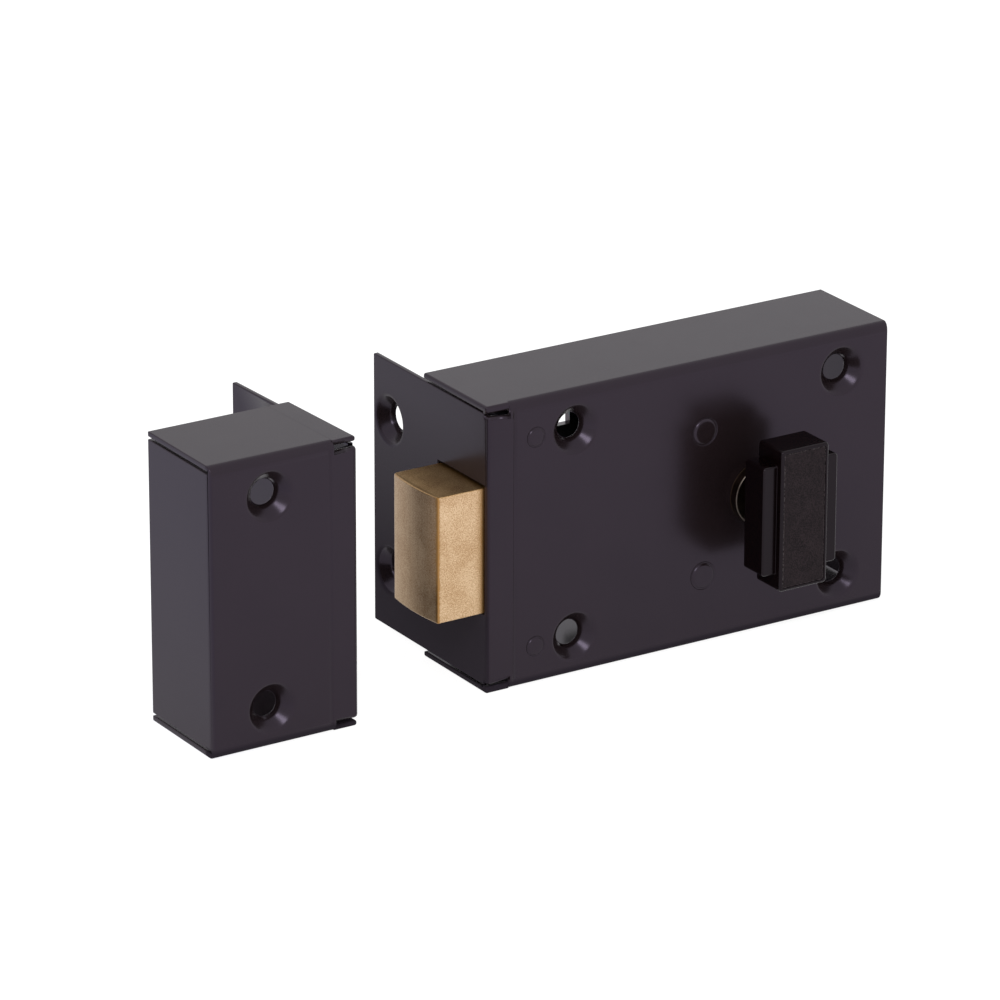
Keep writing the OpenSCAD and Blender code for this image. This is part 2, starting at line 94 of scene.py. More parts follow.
def endEdit():
    bpy.ops.object.mode_set(mode="OBJECT")


def pickEdges(obj, wanted):
    # wanted gets the two ends of an edge in millimetres
    mesh = bmesh.from_edit_mesh(obj.data)
    for edge in mesh.edges:
        a, b = (v.co / mm for v in edge.verts)
        edge.select_set(wanted(a, b))
    bmesh.update_edit_mesh(obj.data)


def pickFaces(obj, wanted):
    # wanted gets the middle of a face in millimetres and its normal
    mesh = bmesh.from_edit_mesh(obj.data)
    for face in mesh.faces:
        face.select_set(wanted(face.calc_center_median() / mm, face.normal))
    bmesh.update_edit_mesh(obj.data)


def alongAxis(a, b, axis):
    across = [i for i in range(3) if i != axis]
    return all(abs(a[i] - b[i]) < straight for i in across)


def roundEdges(obj, wanted, radius, steps):
    startEdit(obj)
    pickEdges(obj, wanted)
    bpy.ops.mesh.bevel(offset=radius * mm, offset_type="OFFSET", segments=steps, profile=0.5,
                       affect="EDGES", clamp_overlap=False)
    endEdit()


def useModifier(obj, kind, settings):
    selectOnly(obj)
    made = obj.modifiers.new(kind.title(), kind)
    for key, value in settings.items():
        setattr(made, key, value)
    bpy.ops.object.modifier_apply(modifier=made.name)


def combine(obj, other, operation="UNION"):
    useModifier(obj, "BOOLEAN", {"operation": operation, "solver": "EXACT", "object": other})
    bpy.data.objects.remove(other)


def cut(obj, cutter):
    combine(obj, cutter, "DIFFERENCE")


def joinTo(obj, *others):
    selectOnly(obj)
    for other in others:
        other.select_set(True)
    bpy.ops.object.join()
    return obj


def cleanUp(obj):
    startEdit(obj, "VERT")
    bpy.ops.mesh.select_all(action="SELECT")
    bpy.ops.mesh.remove_doubles(threshold=mergeGap)
    bpy.ops.mesh.normals_make_consistent(inside=False)
    endEdit()


def drawLine(points):
    # one vertex, drawn out point by point
    spots = [Vector(p) * mm for p in points]
    bpy.ops.object.select_all(action="DESELECT")
    bpy.ops.mesh.primitive_plane_add(size=mm, location=spots[0])
    line = place(bpy.context.object)
    startEdit(line, "VERT")
    bpy.ops.mesh.select_all(action="SELECT")
    bpy.ops.mesh.merge(type="CENTER")
    for here, there in zip(spots, spots[1:]):
        bpy.ops.mesh.extrude_vertices_move(TRANSFORM_OT_translate={"value": there - here})
    endEdit()
    return line


def drawBlock(outline, way):
    # a flat outline, filled and drawn out along way
    block = drawLine(outline)
    startEdit(block, "VERT")
    bpy.ops.mesh.select_all(action="SELECT")
    bpy.ops.mesh.edge_face_add()
    bpy.ops.mesh.extrude_region_move(TRANSFORM_OT_translate={"value": tuple(c * mm for c in way)})
    endEdit()
    cleanUp(block)
    return block


def lathe(profile, origin, inward=rearward, steps=64, closed=True):
    # profile holds (radius, depth) and inward is the direction in which the depth grows
    axis = Vector(inward)
    side = Vector((0, 1, 0)) if abs(axis.x) > 0.5 else Vector((1, 0, 0))
    base = Vector(origin)
    turned = drawLine([base + side * r + axis * d for r, d in profile])
    startEdit(turned, "VERT")
    bpy.ops.mesh.select_all(action="SELECT")
    bpy.ops.mesh.spin(steps=steps, angle=2 * math.pi, center=base * mm, axis=axis)
    endEdit()
    if closed:
        cleanUp(turned)
    return turned


def roundUnequal(obj, steps, *choices):
    # each choice names edges and their radius, and all are rounded together
    widest = max(radius for wanted, radius in choices)
    for wanted, radius in choices:
        startEdit(obj)
        pickEdges(obj, wanted)
        bpy.ops.transform.edge_bevelweight(value=radius / widest)
        endEdit()
    useModifier(obj, "BEVEL", {"width": widest * mm, "segments": steps, "limit_method": "WEIGHT",
                               "use_clamp_overlap": False})


def shadeSmooth(obj):
    selectOnly(obj)
    bpy.ops.object.shade_smooth()
    useModifier(obj, "WEIGHTED_NORMAL", {"mode": "FACE_AREA_WITH_ANGLE", "weight": 60, "keep_sharp": False})


def soften(obj, width, limit, steps):
    # rounds all edges that turn by more than the limit in degrees
    useModifier(obj, "BEVEL", {"width": width * mm, "segments": steps, "limit_method": "ANGLE",
                               "angle_limit": math.radians(limit), "use_clamp_overlap": False,
                               "miter_outer": "MITER_ARC"})
    shadeSmooth(obj)


def softenSheet(obj, width, limit, spared):
    # only the outer edges of the sheet, and none in the spared places
    startEdit(obj)
    mesh = bmesh.from_edit_mesh(obj.data)
    for edge in mesh.edges:
        middle = (edge.verts[0].co + edge.verts[1].co) / 2 / mm
        sharp = edge.is_manifold and edge.is_convex and edge.calc_face_angle() > math.radians(limit)
        edge.select_set(sharp and not spared(middle))
    bmesh.update_edit_mesh(obj.data)
    bpy.ops.transform.edge_bevelweight(value=1)
    endEdit()
    useModifier(obj, "BEVEL", {"width": width * mm, "segments": 2, "limit_method": "WEIGHT",
                               "use_clamp_overlap": False})
    shadeSmooth(obj)


def dress(obj, name, material, body, slotName, *replaced):
    obj.name = name
    obj.data.name = name
    obj.data.materials.clear()
    obj.data.materials.append(material)
    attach(obj, body)
    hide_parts(*replaced)
    print("made", name, len(obj.data.polygons), "faces")


# Material helpers


class Val:
    # a socket's value, which can be used in sums
    def __init__(self, shader, socket):
        self.shader = shader
        self.socket = socket

    def __add__(self, other):
        return self.shader.sum("ADD", self, other)

    def __radd__(self, other):
        return self.shader.sum("ADD", other, self)

    def __sub__(self, other):
        return self.shader.sum("SUBTRACT", self, other)

    def __rsub__(self, other):
        return self.shader.sum("SUBTRACT", other, self)

    def __mul__(self, other):
        return self.shader.sum("MULTIPLY", self, other)

    def __rmul__(self, other):
        return self.shader.sum("MULTIPLY", other, self)

    def __pow__(self, other):
        return self.shader.sum("POWER", self, other)

    def __abs__(self):
        return self.shader.sum("ABSOLUTE", self, 0.0)

    def swing(self):
        # a noise lies round one half, and its swing round nothing
        return self - 0.5


class Shader:
    def __init__(self, name, constants):
        self.material = bpy.data.materials.new(name)
        self.material.use_nodes = True
        self.tree = self.material.node_tree
        self.surface = self.tree.nodes["Principled BSDF"]
        for key, value in constants.items():
            self.surface.inputs[key].default_value = value

    def feed(self, socket, value):
        if isinstance(value, Val):
            self.tree.links.new(value.socket, socket)
        else:
            socket.default_value = value

    def node(self, kind, settings, inputs, output=0):
        made = self.tree.nodes.new(kind)
        for key, value in settings.items():
            if key == "stops":
                self.fillRamp(made.color_ramp, value)
            else:
                setattr(made, key, value)
        for key, value in inputs.items():
            self.feed(made.inputs[key], value)
        return Val(self, made.outputs[output])

    def fillRamp(self, ramp, stops):
        while len(ramp.elements) < len(stops):
            ramp.elements.new(0.5)
        for element, (position, colour) in zip(ramp.elements, stops):
            element.position = position
            element.color = (*colour, 1)

    def sum(self, operation, a, b):
        return self.node("ShaderNodeMath", {"operation": operation}, {0: a, 1: b})

    def place(self, scale=(1, 1, 1)):
        spot = self.node("ShaderNodeTexCoord", {}, {}, "Object")
        return self.node("ShaderNodeMapping", {}, {"Vector": spot, "Scale": scale})

    def axis(self, name):
        spot = self.node("ShaderNodeTexCoord", {}, {}, "Object")
        return self.node("ShaderNodeSeparateXYZ", {}, {"Vector": spot}, name)

    def noise(self, scale, detail, rough, bend=0.0, where=None):
        inputs = {"Vector": where or self.place(), "Scale": scale, "Detail": detail,
                  "Roughness": rough, "Distortion": bend}
        return self.node("ShaderNodeTexNoise", {}, inputs, "Fac")

    def streaks(self, scales, detail, rough):
        # a noise with a scale for each axis
        return self.noise(1.0, detail, rough, where=self.place(scales))

    def between(self, value, span, toLow=0.0, toHigh=1.0):
        inputs = {"Value": value, "From Min": span[0], "From Max": span[1],
                  "To Min": toLow, "To Max": toHigh}
        return self.node("ShaderNodeMapRange", {"clamp": True}, inputs)

    def over(self, value, span, toLow=0.0, toHigh=1.0):
        # between two places in millimetres
        return self.between(value, (span[0] * mm, span[1] * mm), toLow, toHigh)

    def inside(self, value, span, edge):
        # 1 between two places in millimetres, falling to 0 over the edge outside them
        low, high = span
        above = self.over(value, (low - edge, low))
        return above * self.over(value, (high + edge, high))

    def mix(self, factor, a, b, blend="MIX"):
        # the node's colours are its inputs 6 and 7 and its output 2
        def colour(value):
            return value if isinstance(value, Val) else (*value, 1)
        return self.node("ShaderNodeMix", {"data_type": "RGBA", "blend_type": blend},
                         {0: factor, 6: colour(a), 7: colour(b)}, 2)

    def ramp(self, factor, stops):
        return self.node("ShaderNodeValToRGB", {"stops": stops}, {"Fac": factor})

    def bump(self, height, look):
        inputs = {"Height": height, "Strength": look["bump"], "Distance": look["bumpHeight"] * mm}
        return self.node("ShaderNodeBump", {}, inputs)

    def finish(self, **inputs):
        names = {"colour": "Base Color", "rough": "Roughness", "metal": "Metallic", "normal": "Normal"}
        for key, value in inputs.items():
            self.feed(self.surface.inputs[names[key]], value)
        return self.material

    def blendTo(self, factor, colour):
        # over to a dark matt shader, which paints shade, where the factor is 1
        shadeBsdf = self.node("ShaderNodeBsdfDiffuse", {}, {"Color": (*colour, 1)})
        glossy = Val(self, self.surface.outputs["BSDF"])
        both = self.node("ShaderNodeMixShader", {}, {0: factor, 1: glossy, 2: shadeBsdf})
        self.feed(self.tree.nodes["Material Output"].inputs["Surface"], both)
        return self.material


# Materials
# A noise is given by its scale, detail, roughness and, for some, its bend

paintLook = {
    "dark": (0.0066, 0.0040, 0.0044), "light": (0.0104, 0.0066, 0.0072), "tint": (2.75, 2.35, 3.20, 1),
    "clouds": (60, 3.0, 0.55), "blotches": (170, 4.0, 0.6), "grain": (2600, 3.0, 0.6),
    "wave": (420, 2.0, 0.5), "waveShare": 1.6, "bump": 0.10, "bumpHeight": 0.010,
    "ior": 1.20, "rough": 0.25, "blotchRough": 0.07, "grainRough": 0.06,
    # the brown on the wall at the bolt's window is a painted reflection of the bolt
    "paintedGlint": (0.060, 0.030, 0.014), "glintX": (-58.4, -56.9), "glintXEdge": 0.1,
    "glintZ": (-12.3, 12.1), "glintZEdge": 0.3, "glintGrows": (-21.75, -20.45), "glintEnds": (-20.0, -20.2),
    # the dark matt mix low down on the sheet is painted shade
    "shadeColour": (0.017, 0.0135, 0.0185), "foldZ": (-25.4, -26.3), "foldY": (-18.6, -19.4),
    "foldShade": (0.0, 0.92), "forendX": (-58.2, -57.7), "forendEdge": 0.1, "forendZ": (22, -15),
    "forendShade": (0.06, 0.80),
}


def paintedSheet(look):
    shader = Shader("paintedSheet", {"IOR": look["ior"], "Specular Tint": look["tint"]})
    clouds = shader.noise(*look["clouds"])
    grain = shader.noise(*look["grain"])
    wave = shader.noise(*look["wave"])
    blotches = shader.noise(*look["blotches"])
    colour = shader.mix(clouds, look["dark"], look["light"])
    rough = look["rough"] + look["blotchRough"] * blotches.swing() + look["grainRough"] * grain.swing()

    # painted reflection of the brass bolt: brown on the wall at the front edge of its window
    x, y, z = (shader.axis(name) for name in "XYZ")
    onWall = shader.inside(z, look["glintZ"], look["glintZEdge"])
    onWall = onWall * shader.inside(x, look["glintX"], look["glintXEdge"])
    onEdge = shader.over(y, look["glintGrows"]) * shader.over(y, look["glintEnds"])
    colour = shader.mix(onWall * onEdge, colour, look["paintedGlint"])
    normal = shader.bump(grain + look["waveShare"] * wave, look)
    shader.finish(colour=colour, rough=rough, normal=normal)

    # painted shade: a dark matt shader is mixed in on the bottom fold, and on the forend more and more
    # downwards
    fold = shader.over(z, look["foldZ"], *look["foldShade"]) * shader.over(y, look["foldY"])
    forend = shader.inside(x, look["forendX"], look["forendEdge"])
    forend = forend * shader.over(z, look["forendZ"], *look["forendShade"])
    return shader.blendTo(shader.sum("MAXIMUM", fold, forend), look["shadeColour"])


brassLook = {
    "tones": [(0.22, (0.36, 0.215, 0.10)), (0.50, (0.54, 0.37, 0.215)), (0.78, (0.68, 0.51, 0.33))],
    "mottle": (4200, 4.0, 0.70), "patches": (170, 4.0, 0.6, 0.6), "drawn": ((3600, 3600, 70), 3.0, 0.65),
    "specks": (0.36, 0.64), "speckShare": 0.62, "patchShare": 0.75, "grainShare": 0.80,
    "toneBase": 0.19,
    # the nose's and the top's tints darken them as painted shade
    "noseX": (-67.2, -67.6), "noseShade": (0.66, 0.64, 0.62), "noseGrain": 0.55,
    "topZ": (11.7, 11.9), "topShade": (0.93, 0.86, 0.68),
    # the dark gold also paints shade where the bolt enters the case
    "goldAndShade": (0.30, 0.150, 0.036), "entryX": (-60.2, -58.2), "entryShadeShare": 0.85,
    "cornerX": (-67.1, -67.4), "cornerY": (-19.75, -20.15), "cornerGold": 0.90,
    "cornerSpecks": (0.34, 0.50), "ragged": (1500, 3.0, 0.7), "raggedReach": 0.9,
    "rough": 0.38, "mottleRough": 0.22, "patchRough": 0.12,
    "grainHeight": 2.0, "bump": 0.22, "bumpHeight": 0.012,
}


def boltBrass(look):
    shader = Shader("boltBrass", {})
    mottle = shader.noise(*look["mottle"])
    patches = shader.noise(*look["patches"])
    drawn = shader.streaks(*look["drawn"])
    x, y, z = (shader.axis(name) for name in "XYZ")
    nose = shader.over(x, look["noseX"])
    grain = look["noseGrain"] * nose * drawn.swing()
    specks = shader.between(mottle, look["specks"])
    tone = look["speckShare"] * specks + look["patchShare"] * patches.swing()
    tone = tone + look["grainShare"] * grain + look["toneBase"]
    colour = shader.ramp(tone, look["tones"])
    # painted shade: the nose and the top face are darkened for the way light falls on them
    colour = shader.mix(nose, colour, look["noseShade"], "MULTIPLY")
    colour = shader.mix(shader.over(z, look["topZ"]), colour, look["topShade"], "MULTIPLY")

    # painted shade where the bolt enters the case, and darker gold along its front corner
    entryShade = shader.over(x, look["entryX"])
    ragged = look["raggedReach"] * mm * shader.noise(*look["ragged"]).swing()
    corner = shader.over(x + ragged, look["cornerX"]) * shader.over(y + ragged, look["cornerY"])
    corner = corner * shader.between(mottle, look["cornerSpecks"])
    goldAndShade = look["entryShadeShare"] * entryShade * entryShade + look["cornerGold"] * corner
    colour = shader.mix(goldAndShade, colour, look["goldAndShade"])
    rough = look["rough"] + look["mottleRough"] * mottle.swing() + look["patchRough"] * patches.swing()
    normal = shader.bump(mottle + look["grainHeight"] * grain, look)
    return shader.finish(colour=colour, rough=rough, metal=1.0, normal=normal)


collarLook = {
    # the rim's lighter colour is wear and also a painted highlight
    "dark": (0.026, 0.017, 0.013), "brown": (0.060, 0.038, 0.024), "wearAndGlint": (0.085, 0.070, 0.060),
    "rings": ((300, 6000, 300), 2.0, 0.5), "tarnish": (700, 4.0, 0.6),
    "rimRadius": (5.36, 5.58), "rimY": (-23.74, -23.58),
    "wornSpecks": (0.36, 0.50), "wornShare": (0.45, 1.0),
    "rough": 0.24, "tarnishRough": 0.18, "bump": 0.2, "bumpHeight": 0.01,
}


def collarBrass(look):
    shader = Shader("collarBrass", {})
    rings = shader.streaks(*look["rings"])
    tarnish = shader.noise(*look["tarnish"])
    x, y, z = (shader.axis(name) for name in "XYZ")
    outer = shader.over((x * x + z * z) ** 0.5, look["rimRadius"])
    front = shader.over(y, look["rimY"], 1.0, 0.0)
    # the lighter front rim is wear and also a painted highlight
    wearAndGlint = outer * front * shader.between(tarnish, look["wornSpecks"], *look["wornShare"])
    colour = shader.mix(wearAndGlint, shader.mix(tarnish, look["dark"], look["brown"]), look["wearAndGlint"])
    rough = look["rough"] + look["tarnishRough"] * tarnish
    return shader.finish(colour=colour, rough=rough, metal=1.0, normal=shader.bump(rings, look))


platedLook = {
    "dark": (0.045, 0.046, 0.048), "light": (0.080, 0.080, 0.082), "clouds": (240, 3.0, 0.6),
    "rolled": ((90, 90, 2400), 3.0, 0.6), "spangle": 420, "spangleShare": 0.10,
    "rough": 0.30, "rolledRough": 0.18, "cloudRough": 0.14, "bump": 0.15, "bumpHeight": 0.012,
}


def platedSheet(look):
    shader = Shader("platedSheet", {})
    rolled = shader.streaks(*look["rolled"])
    cells = {"Vector": shader.place(), "Scale": look["spangle"]}
    spangle = shader.node("ShaderNodeTexVoronoi", {"feature": "F1"}, cells, "Color")
    clouds = shader.noise(*look["clouds"])
    base = shader.mix(clouds, look["dark"], look["light"])
    colour = shader.mix(look["spangleShare"], base, spangle, "OVERLAY")
    rough = look["rough"] + look["rolledRough"] * rolled.swing() + look["cloudRough"] * clouds.swing()
    return shader.finish(colour=colour, rough=rough, metal=1.0, normal=shader.bump(rolled, look))


steelLook = {
    "dark": (0.42, 0.42, 0.43), "light": (0.62, 0.62, 0.62), "stains": (500, 3.0, 0.6),
    "rings": ((60, 5200, 60), 2.0, 0.5), "rough": 0.24, "stainRough": 0.2, "bump": 0.25, "bumpHeight": 0.012,
}


def turnedSteel(look):
    # fine rings across the depth, as a turning tool leaves them
    shader = Shader("turnedSteel", {})
    rings = shader.streaks(*look["rings"])
    stains = shader.noise(*look["stains"])
    colour = shader.mix(stains, look["dark"], look["light"])
    rough = look["rough"] + look["stainRough"] * stains
    return shader.finish(colour=colour, rough=rough, metal=1.0, normal=shader.bump(rings, look))


springLook = {
    "tones": [(0.35, (0.10, 0.12, 0.19)), (0.52, (0.20, 0.21, 0.25)), (0.68, (0.30, 0.24, 0.20))],
    "heat": (300, 2.0, 0.5), "drawn": ((60, 2600, 60), 3.0, 0.6),
    "rough": 0.22, "drawnRough": 0.16, "bump": 0.15, "bumpHeight": 0.01,
}


def springSteel(look):
    shader = Shader("springSteel", {})
    drawn = shader.streaks(*look["drawn"])
    colour = shader.ramp(shader.noise(*look["heat"]), look["tones"])
    rough = look["rough"] + look["drawnRough"] * drawn
    return shader.finish(colour=colour, rough=rough, metal=1.0, normal=shader.bump(drawn, look))


zincLook = {
    "dark": (0.40, 0.40, 0.40), "light": (0.58, 0.58, 0.57), "flow": (260, 3.0, 0.6, 0.8),
    "grain": (2200, 4.0, 0.65), "rough": 0.42, "flowRough": 0.2, "bump": 0.3, "bumpHeight": 0.03,
}


def castZinc(look):
    shader = Shader("castZinc", {})
    grain = shader.noise(*look["grain"])
    flow = shader.noise(*look["flow"])
    colour = shader.mix(flow, look["dark"], look["light"])
    rough = look["rough"] + look["flowRough"] * flow.swing()
    return shader.finish(colour=colour, rough=rough, metal=1.0, normal=shader.bump(grain, look))


knobLook = {
    "dark": (0.0012, 0.0004, 0.0004), "light": (0.0024, 0.0009, 0.0009), "tint": (1.46, 1.26, 1.49, 1),
    "clouds": (200, 3.0, 0.6), "blotches": (320, 3.0, 0.6),
    "peel": (900, 2.0, 0.5), "fine": (5200, 2.0, 0.5), "bump": 0.10, "bumpHeight": 0.02,
    "ior": 1.22, "rough": 0.20, "blotchRough": 0.07, "fineRough": 0.05,
}


def knobPlastic(look):
    shader = Shader("knobPlastic", {"IOR": look["ior"], "Specular Tint": look["tint"]})
    peel = shader.noise(*look["peel"])
    fine = shader.noise(*look["fine"])
    blotches = shader.noise(*look["blotches"])
    colour = shader.mix(shader.noise(*look["clouds"]), look["dark"], look["light"])
    rough = look["rough"] + look["blotchRough"] * blotches.swing() + look["fineRough"] * fine.swing()
    return shader.finish(colour=colour, rough=rough, normal=shader.bump(peel, look))


panelLook = {
    "dark": (0.0002, 0.0001, 0.0001), "light": (0.0170, 0.0112, 0.0125), "tint": (1.15, 0.98, 1.08, 1),
    "specks": (7400, 2.0, 0.7), "speckRange": (0.42, 0.62), "clouds": (420, 3.0, 0.6), "cloudShare": 0.15,
    # the light dashes along the rim are a painted highlight
    "paintedGlint": (0.075, 0.064, 0.066), "glintDashes": (2600, 3.0, 0.7), "glintRange": (0.47, 0.58),
    "rimX": (4.30, 4.48), "rimZ": (12.75, 12.9),
    "ior": 1.20, "rough": 0.50, "speckGloss": 0.14, "bump": 0.30, "bumpHeight": 0.03,
}


def panelPlastic(look):
    shader = Shader("panelPlastic", {"IOR": look["ior"], "Specular Tint": look["tint"]})
    specks = shader.noise(*look["specks"])
    clouds = shader.noise(*look["clouds"])
    bright = shader.between(specks + look["cloudShare"] * clouds.swing(), look["speckRange"])
    colour = shader.mix(bright, look["dark"], look["light"])

    # light dashes along the rim, a painted highlight
    rimX = shader.over(abs(shader.axis("X")), look["rimX"])
    rimZ = shader.over(abs(shader.axis("Z")), look["rimZ"])
    glintDashes = shader.between(shader.noise(*look["glintDashes"]), look["glintRange"])
    colour = shader.mix(glintDashes * shader.sum("MAXIMUM", rimX, rimZ), colour, look["paintedGlint"])
    rough = look["rough"] - look["speckGloss"] * bright
    return shader.finish(colour=colour, rough=rough, normal=shader.bump(specks, look))


paint = paintedSheet(paintLook)
brass = boltBrass(brassLook)
plated = platedSheet(platedLook)
steel = turnedSteel(steelLook)
spring = springSteel(springLook)
zinc = castZinc(zincLook)
print("materials made")

# The folded sheet of the case and of the keeper

sheet = {
    "depth": 22.0, "halfHeight": 27.5, "thickness": 1.0, "edge": 0.2, "edgeLimit": 50, "stripLap": 0.4,
    "sideFold": 1.0, "sideSteps": 10, "plateFold": 2.2, "farFold": 0.55, "plateSteps": 14, "roomSteps": 8,
    "flangeReach": 17.3, "wallFront": -20.5, "notchEnd": 4.7, "notchLow": 25.75, "shoulder": 0.7,
    "lipFront": -21.3, "lipEdge": 0.42, "lipSteps": 4, "lipSpared": (-21.9, -19), "rollLow": 26.12,
    "gapLow": 26.04, "gapFront": -20.9, "grooveRadius": 0.6, "grooveDepth": 0.16, "flatAngle": 0.3,
}

faceDimple = [
    (5.20, 0.0), (5.10, 0.0), (4.92, 0.01), (4.74, 0.05), (4.55, 0.14), (4.36, 0.29), (4.12, 0.52),
    (3.84, 0.81), (3.54, 1.13), (3.24, 1.46), (3.00, 1.72), (2.84, 1.90), (2.74, 2.06), (2.66, 2.26),
    (2.56, 2.52), (2.46, 2.78), (2.42, 2.90), (2.44, 2.97), (2.52, 3.00), (3.10, 3.00), (3.35, 2.93),
    (3.75, 2.60), (4.30, 2.02), (4.66, 1.52), (4.88, 1.24), (5.02, 1.07), (5.12, 1.0), (5.20, 1.0),
]


def openPressing(obj, centre, radius, axis, ends):
    # cuts the sheet away where a pressing goes and leaves the hole's two rims open
    cut(obj, addRod(centre, radius, ends, axis))
    along = "XYZ".index(axis)
    p, q = (i for i in range(3) if i != along)
    low, high = min(ends), max(ends)

    def isWall(middle, normal):
        away = math.hypot(middle[p] - centre[0], middle[q] - centre[1])
        turned = abs(normal[along]) < 0.5
        return turned and away < radius + slack and low < middle[along] < high

    startEdit(obj, "FACE")
    pickFaces(obj, isWall)
    bpy.ops.mesh.delete(type="FACE")
    endEdit()


def leanSide(obj, lean):
    # a cage of eight points, of which the two at the right and rear are moved to the left
    low = Vector(min(v.co[i] for v in obj.data.vertices) for i in range(3))
    high = Vector(max(v.co[i] for v in obj.data.vertices) for i in range(3))
    bpy.ops.object.select_all(action="DESELECT")
    bpy.ops.object.add(type="LATTICE", location=(low + high) / 2)
    cage = bpy.context.object
    cage.scale = high - low
    grid = cage.data
    grid.points_u = grid.points_v = grid.points_w = 2
    grid.interpolation_type_u = grid.interpolation_type_v = grid.interpolation_type_w = "KEY_LINEAR"
    for point in grid.points:
        if point.co.x > 0 and point.co.y > 0:
            point.co_deform.x -= lean * mm / (high.x - low.x)
    bpy.context.view_layer.update()
    useModifier(obj, "LATTICE", {"object": cage})
    bpy.data.objects.remove(cage)


def foldedBox(spec):
    s = spec["towards"]
    length = spec["length"]
    depth, half, thick = (sheet[k] for k in ("depth", "halfHeight", "thickness"))
    end, low, lip = (sheet[k] for k in ("notchEnd", "notchLow", "lipFront"))
    roll, gapLow = (sheet[k] for k in ("rollLow", "gapLow"))
    inside = half - thick

    def at(u):
        # u is counted from the flange's outer face towards the far wall
        return spec["flangeX"] + s * u

    def atStart(point):
        return abs(point.x - at(0)) < slack

    def inFront(a, b):
        return max(a.y, b.y) < lip + slack

    def frontEdge(a, b):
        return alongAxis(a, b, 0) and inFront(a, b)

    def farEdge(a, b):
        return alongAxis(a, b, 2) and inFront(a, b) and abs(a.x - at(length)) < slack

    def nearEdge(a, b):
        return alongAxis(a, b, 2) and inFront(a, b) and atStart(a)

    # face and plates with their folds, which start beside the notched corners
    box = addBox((at(end), at(length)), (-depth, 0), (-half, half))
    folds = ((frontEdge, sheet["plateFold"]), (farEdge, sheet["farFold"]))
    roundUnequal(box, sheet["plateSteps"], *folds)

    # the strip between the notches with the wall's fold, which slants a little, and the wall behind it
    wallFront = sheet["wallFront"]
    strip = addBox((at(0), at(end + past)), (-depth, wallFront + sheet["stripLap"]), (-low, low))
    for side in (-1, 1):
        fall = side * spec["notchFall"] / 2 * mm
        startEdit(strip, "FACE")
        pickFaces(strip, lambda m, n: side * n.z > facing)
        bpy.ops.transform.translate(value=(0, 0, -fall))
        endEdit()
        startEdit(strip, "EDGE")
        pickEdges(strip, lambda a, b: alongAxis(a, b, 1) and side * a.z > 0 and atStart(a))
        bpy.ops.transform.translate(value=(0, 0, fall))
        endEdit()

    def isShoulder(a, b):
        slanting = inFront(a, b) and abs(a.x - b.x) > 1
        return slanting or alongAxis(a, b, 1) and atStart(a)

    folds = ((nearEdge, sheet["sideFold"]), (isShoulder, sheet["shoulder"]))
    roundUnequal(strip, sheet["sideSteps"], *folds)
    combine(box, strip)
    combine(box, addBox((at(0), at(thick + margin)), (wallFront, 0), (-gapLow, gapLow)))

    # the flat lips of the plates above the notches, on the case rolled over at the front
    def isRim(a, b):
        starts = atStart(a) and atStart(b)
        sideEdge = alongAxis(a, b, 1) and (abs(a.z) > half - slack or not spec["rolled"])
        return inFront(a, b) and (alongAxis(a, b, 0) or starts) or starts and sideEdge

    lipBack = lip + thick
    outline = [(0, half), (lip, half), (lip, roll), (lipBack, roll), (lipBack, inside), (0, inside)]
    for side in (-1, 1):
        if spec["rolled"]:
            points = [(at(0), y, side * z) for y, z in outline]
            flatLip = drawBlock(points, (s * (end + overlap), 0, 0))
        else:
            flatLip = addBox((at(0), at(end)), (lip, 0), (side * inside, side * half))
        roundEdges(flatLip, isRim, sheet["lipEdge"], sheet["lipSteps"])
        combine(box, flatLip)

    # the room inside, and the gaps between the far wall and the plates
    room = addBox((at(thick), at(length - thick)), (thick - depth, past), (-inside, inside))
    innerFold = sheet["plateFold"] - thick
    roundEdges(room, lambda a, b: alongAxis(a, b, 0) and a.y < 0, innerFold, sheet["roomSteps"])
    cut(box, room)
    for side in (-1, 1):
        gapZ = (side * gapLow, side * inside)
        cut(box, addBox((at(length - thick), at(length + past)), (sheet["gapFront"], past), gapZ))

    # the flange, drawn out of the wall's rear edge
    def isRearEdge(middle, normal):
        onWall = abs(middle.x - at(thick / 2)) < 0.4 * thick and abs(middle.z) < gapLow
        return onWall and normal.y > facing and abs(middle.y) < slack

    startEdit(box, "FACE")
    pickFaces(box, isRearEdge)
    bpy.ops.mesh.extrude_region_move(TRANSFORM_OT_translate={"value": (0, sheet["flangeReach"] * mm, 0)})
    endEdit()

    # the line beside the fold, the window for the bolt and the round holes
    grooveY = -depth - sheet["grooveRadius"] + sheet["grooveDepth"]
    grooveEnds = (-half - past, half + past)
    cut(box, addRod((at(spec["grooveU"]), grooveY), sheet["grooveRadius"], grooveEnds, "Z"))
    window = spec["window"]
    cut(box, addBox((at(-past), at(thick + past)), window["y"], (-window["halfZ"], window["halfZ"])))
    for x, z, radius in spec["holes"]:
        cut(box, addRod((x, z), radius, (-depth - past, -depth + thick + past)))

    startEdit(box)
    bpy.ops.mesh.select_all(action="SELECT")
    bpy.ops.mesh.dissolve_limited(angle_limit=math.radians(sheet["flatAngle"]))
    endEdit()

    # the pressed screw holes
    pressings = []
    rim = faceDimple[0][0]
    for x, z in spec["faceScrews"]:
        openPressing(box, (x, z), rim, "Y", (-depth - margin, -depth + thick + margin))
        pressings.append(lathe(faceDimple, (x, -depth, z), closed=False))
    for y, z in spec["flangeScrews"]:
        openPressing(box, (y, z), rim, "X", (at(-margin), at(thick + margin)))
        pressings.append(lathe(faceDimple, (at(0), y, z), (s, 0, 0), closed=False))
    joinTo(box, *pressings)
    cleanUp(box)
    if spec["lean"]:
        leanSide(box, spec["lean"])

    # the lips have their own rounding already
    lipXs = sorted((at(-overlap), at(end + margin)))
    lipYs = sheet["lipSpared"]

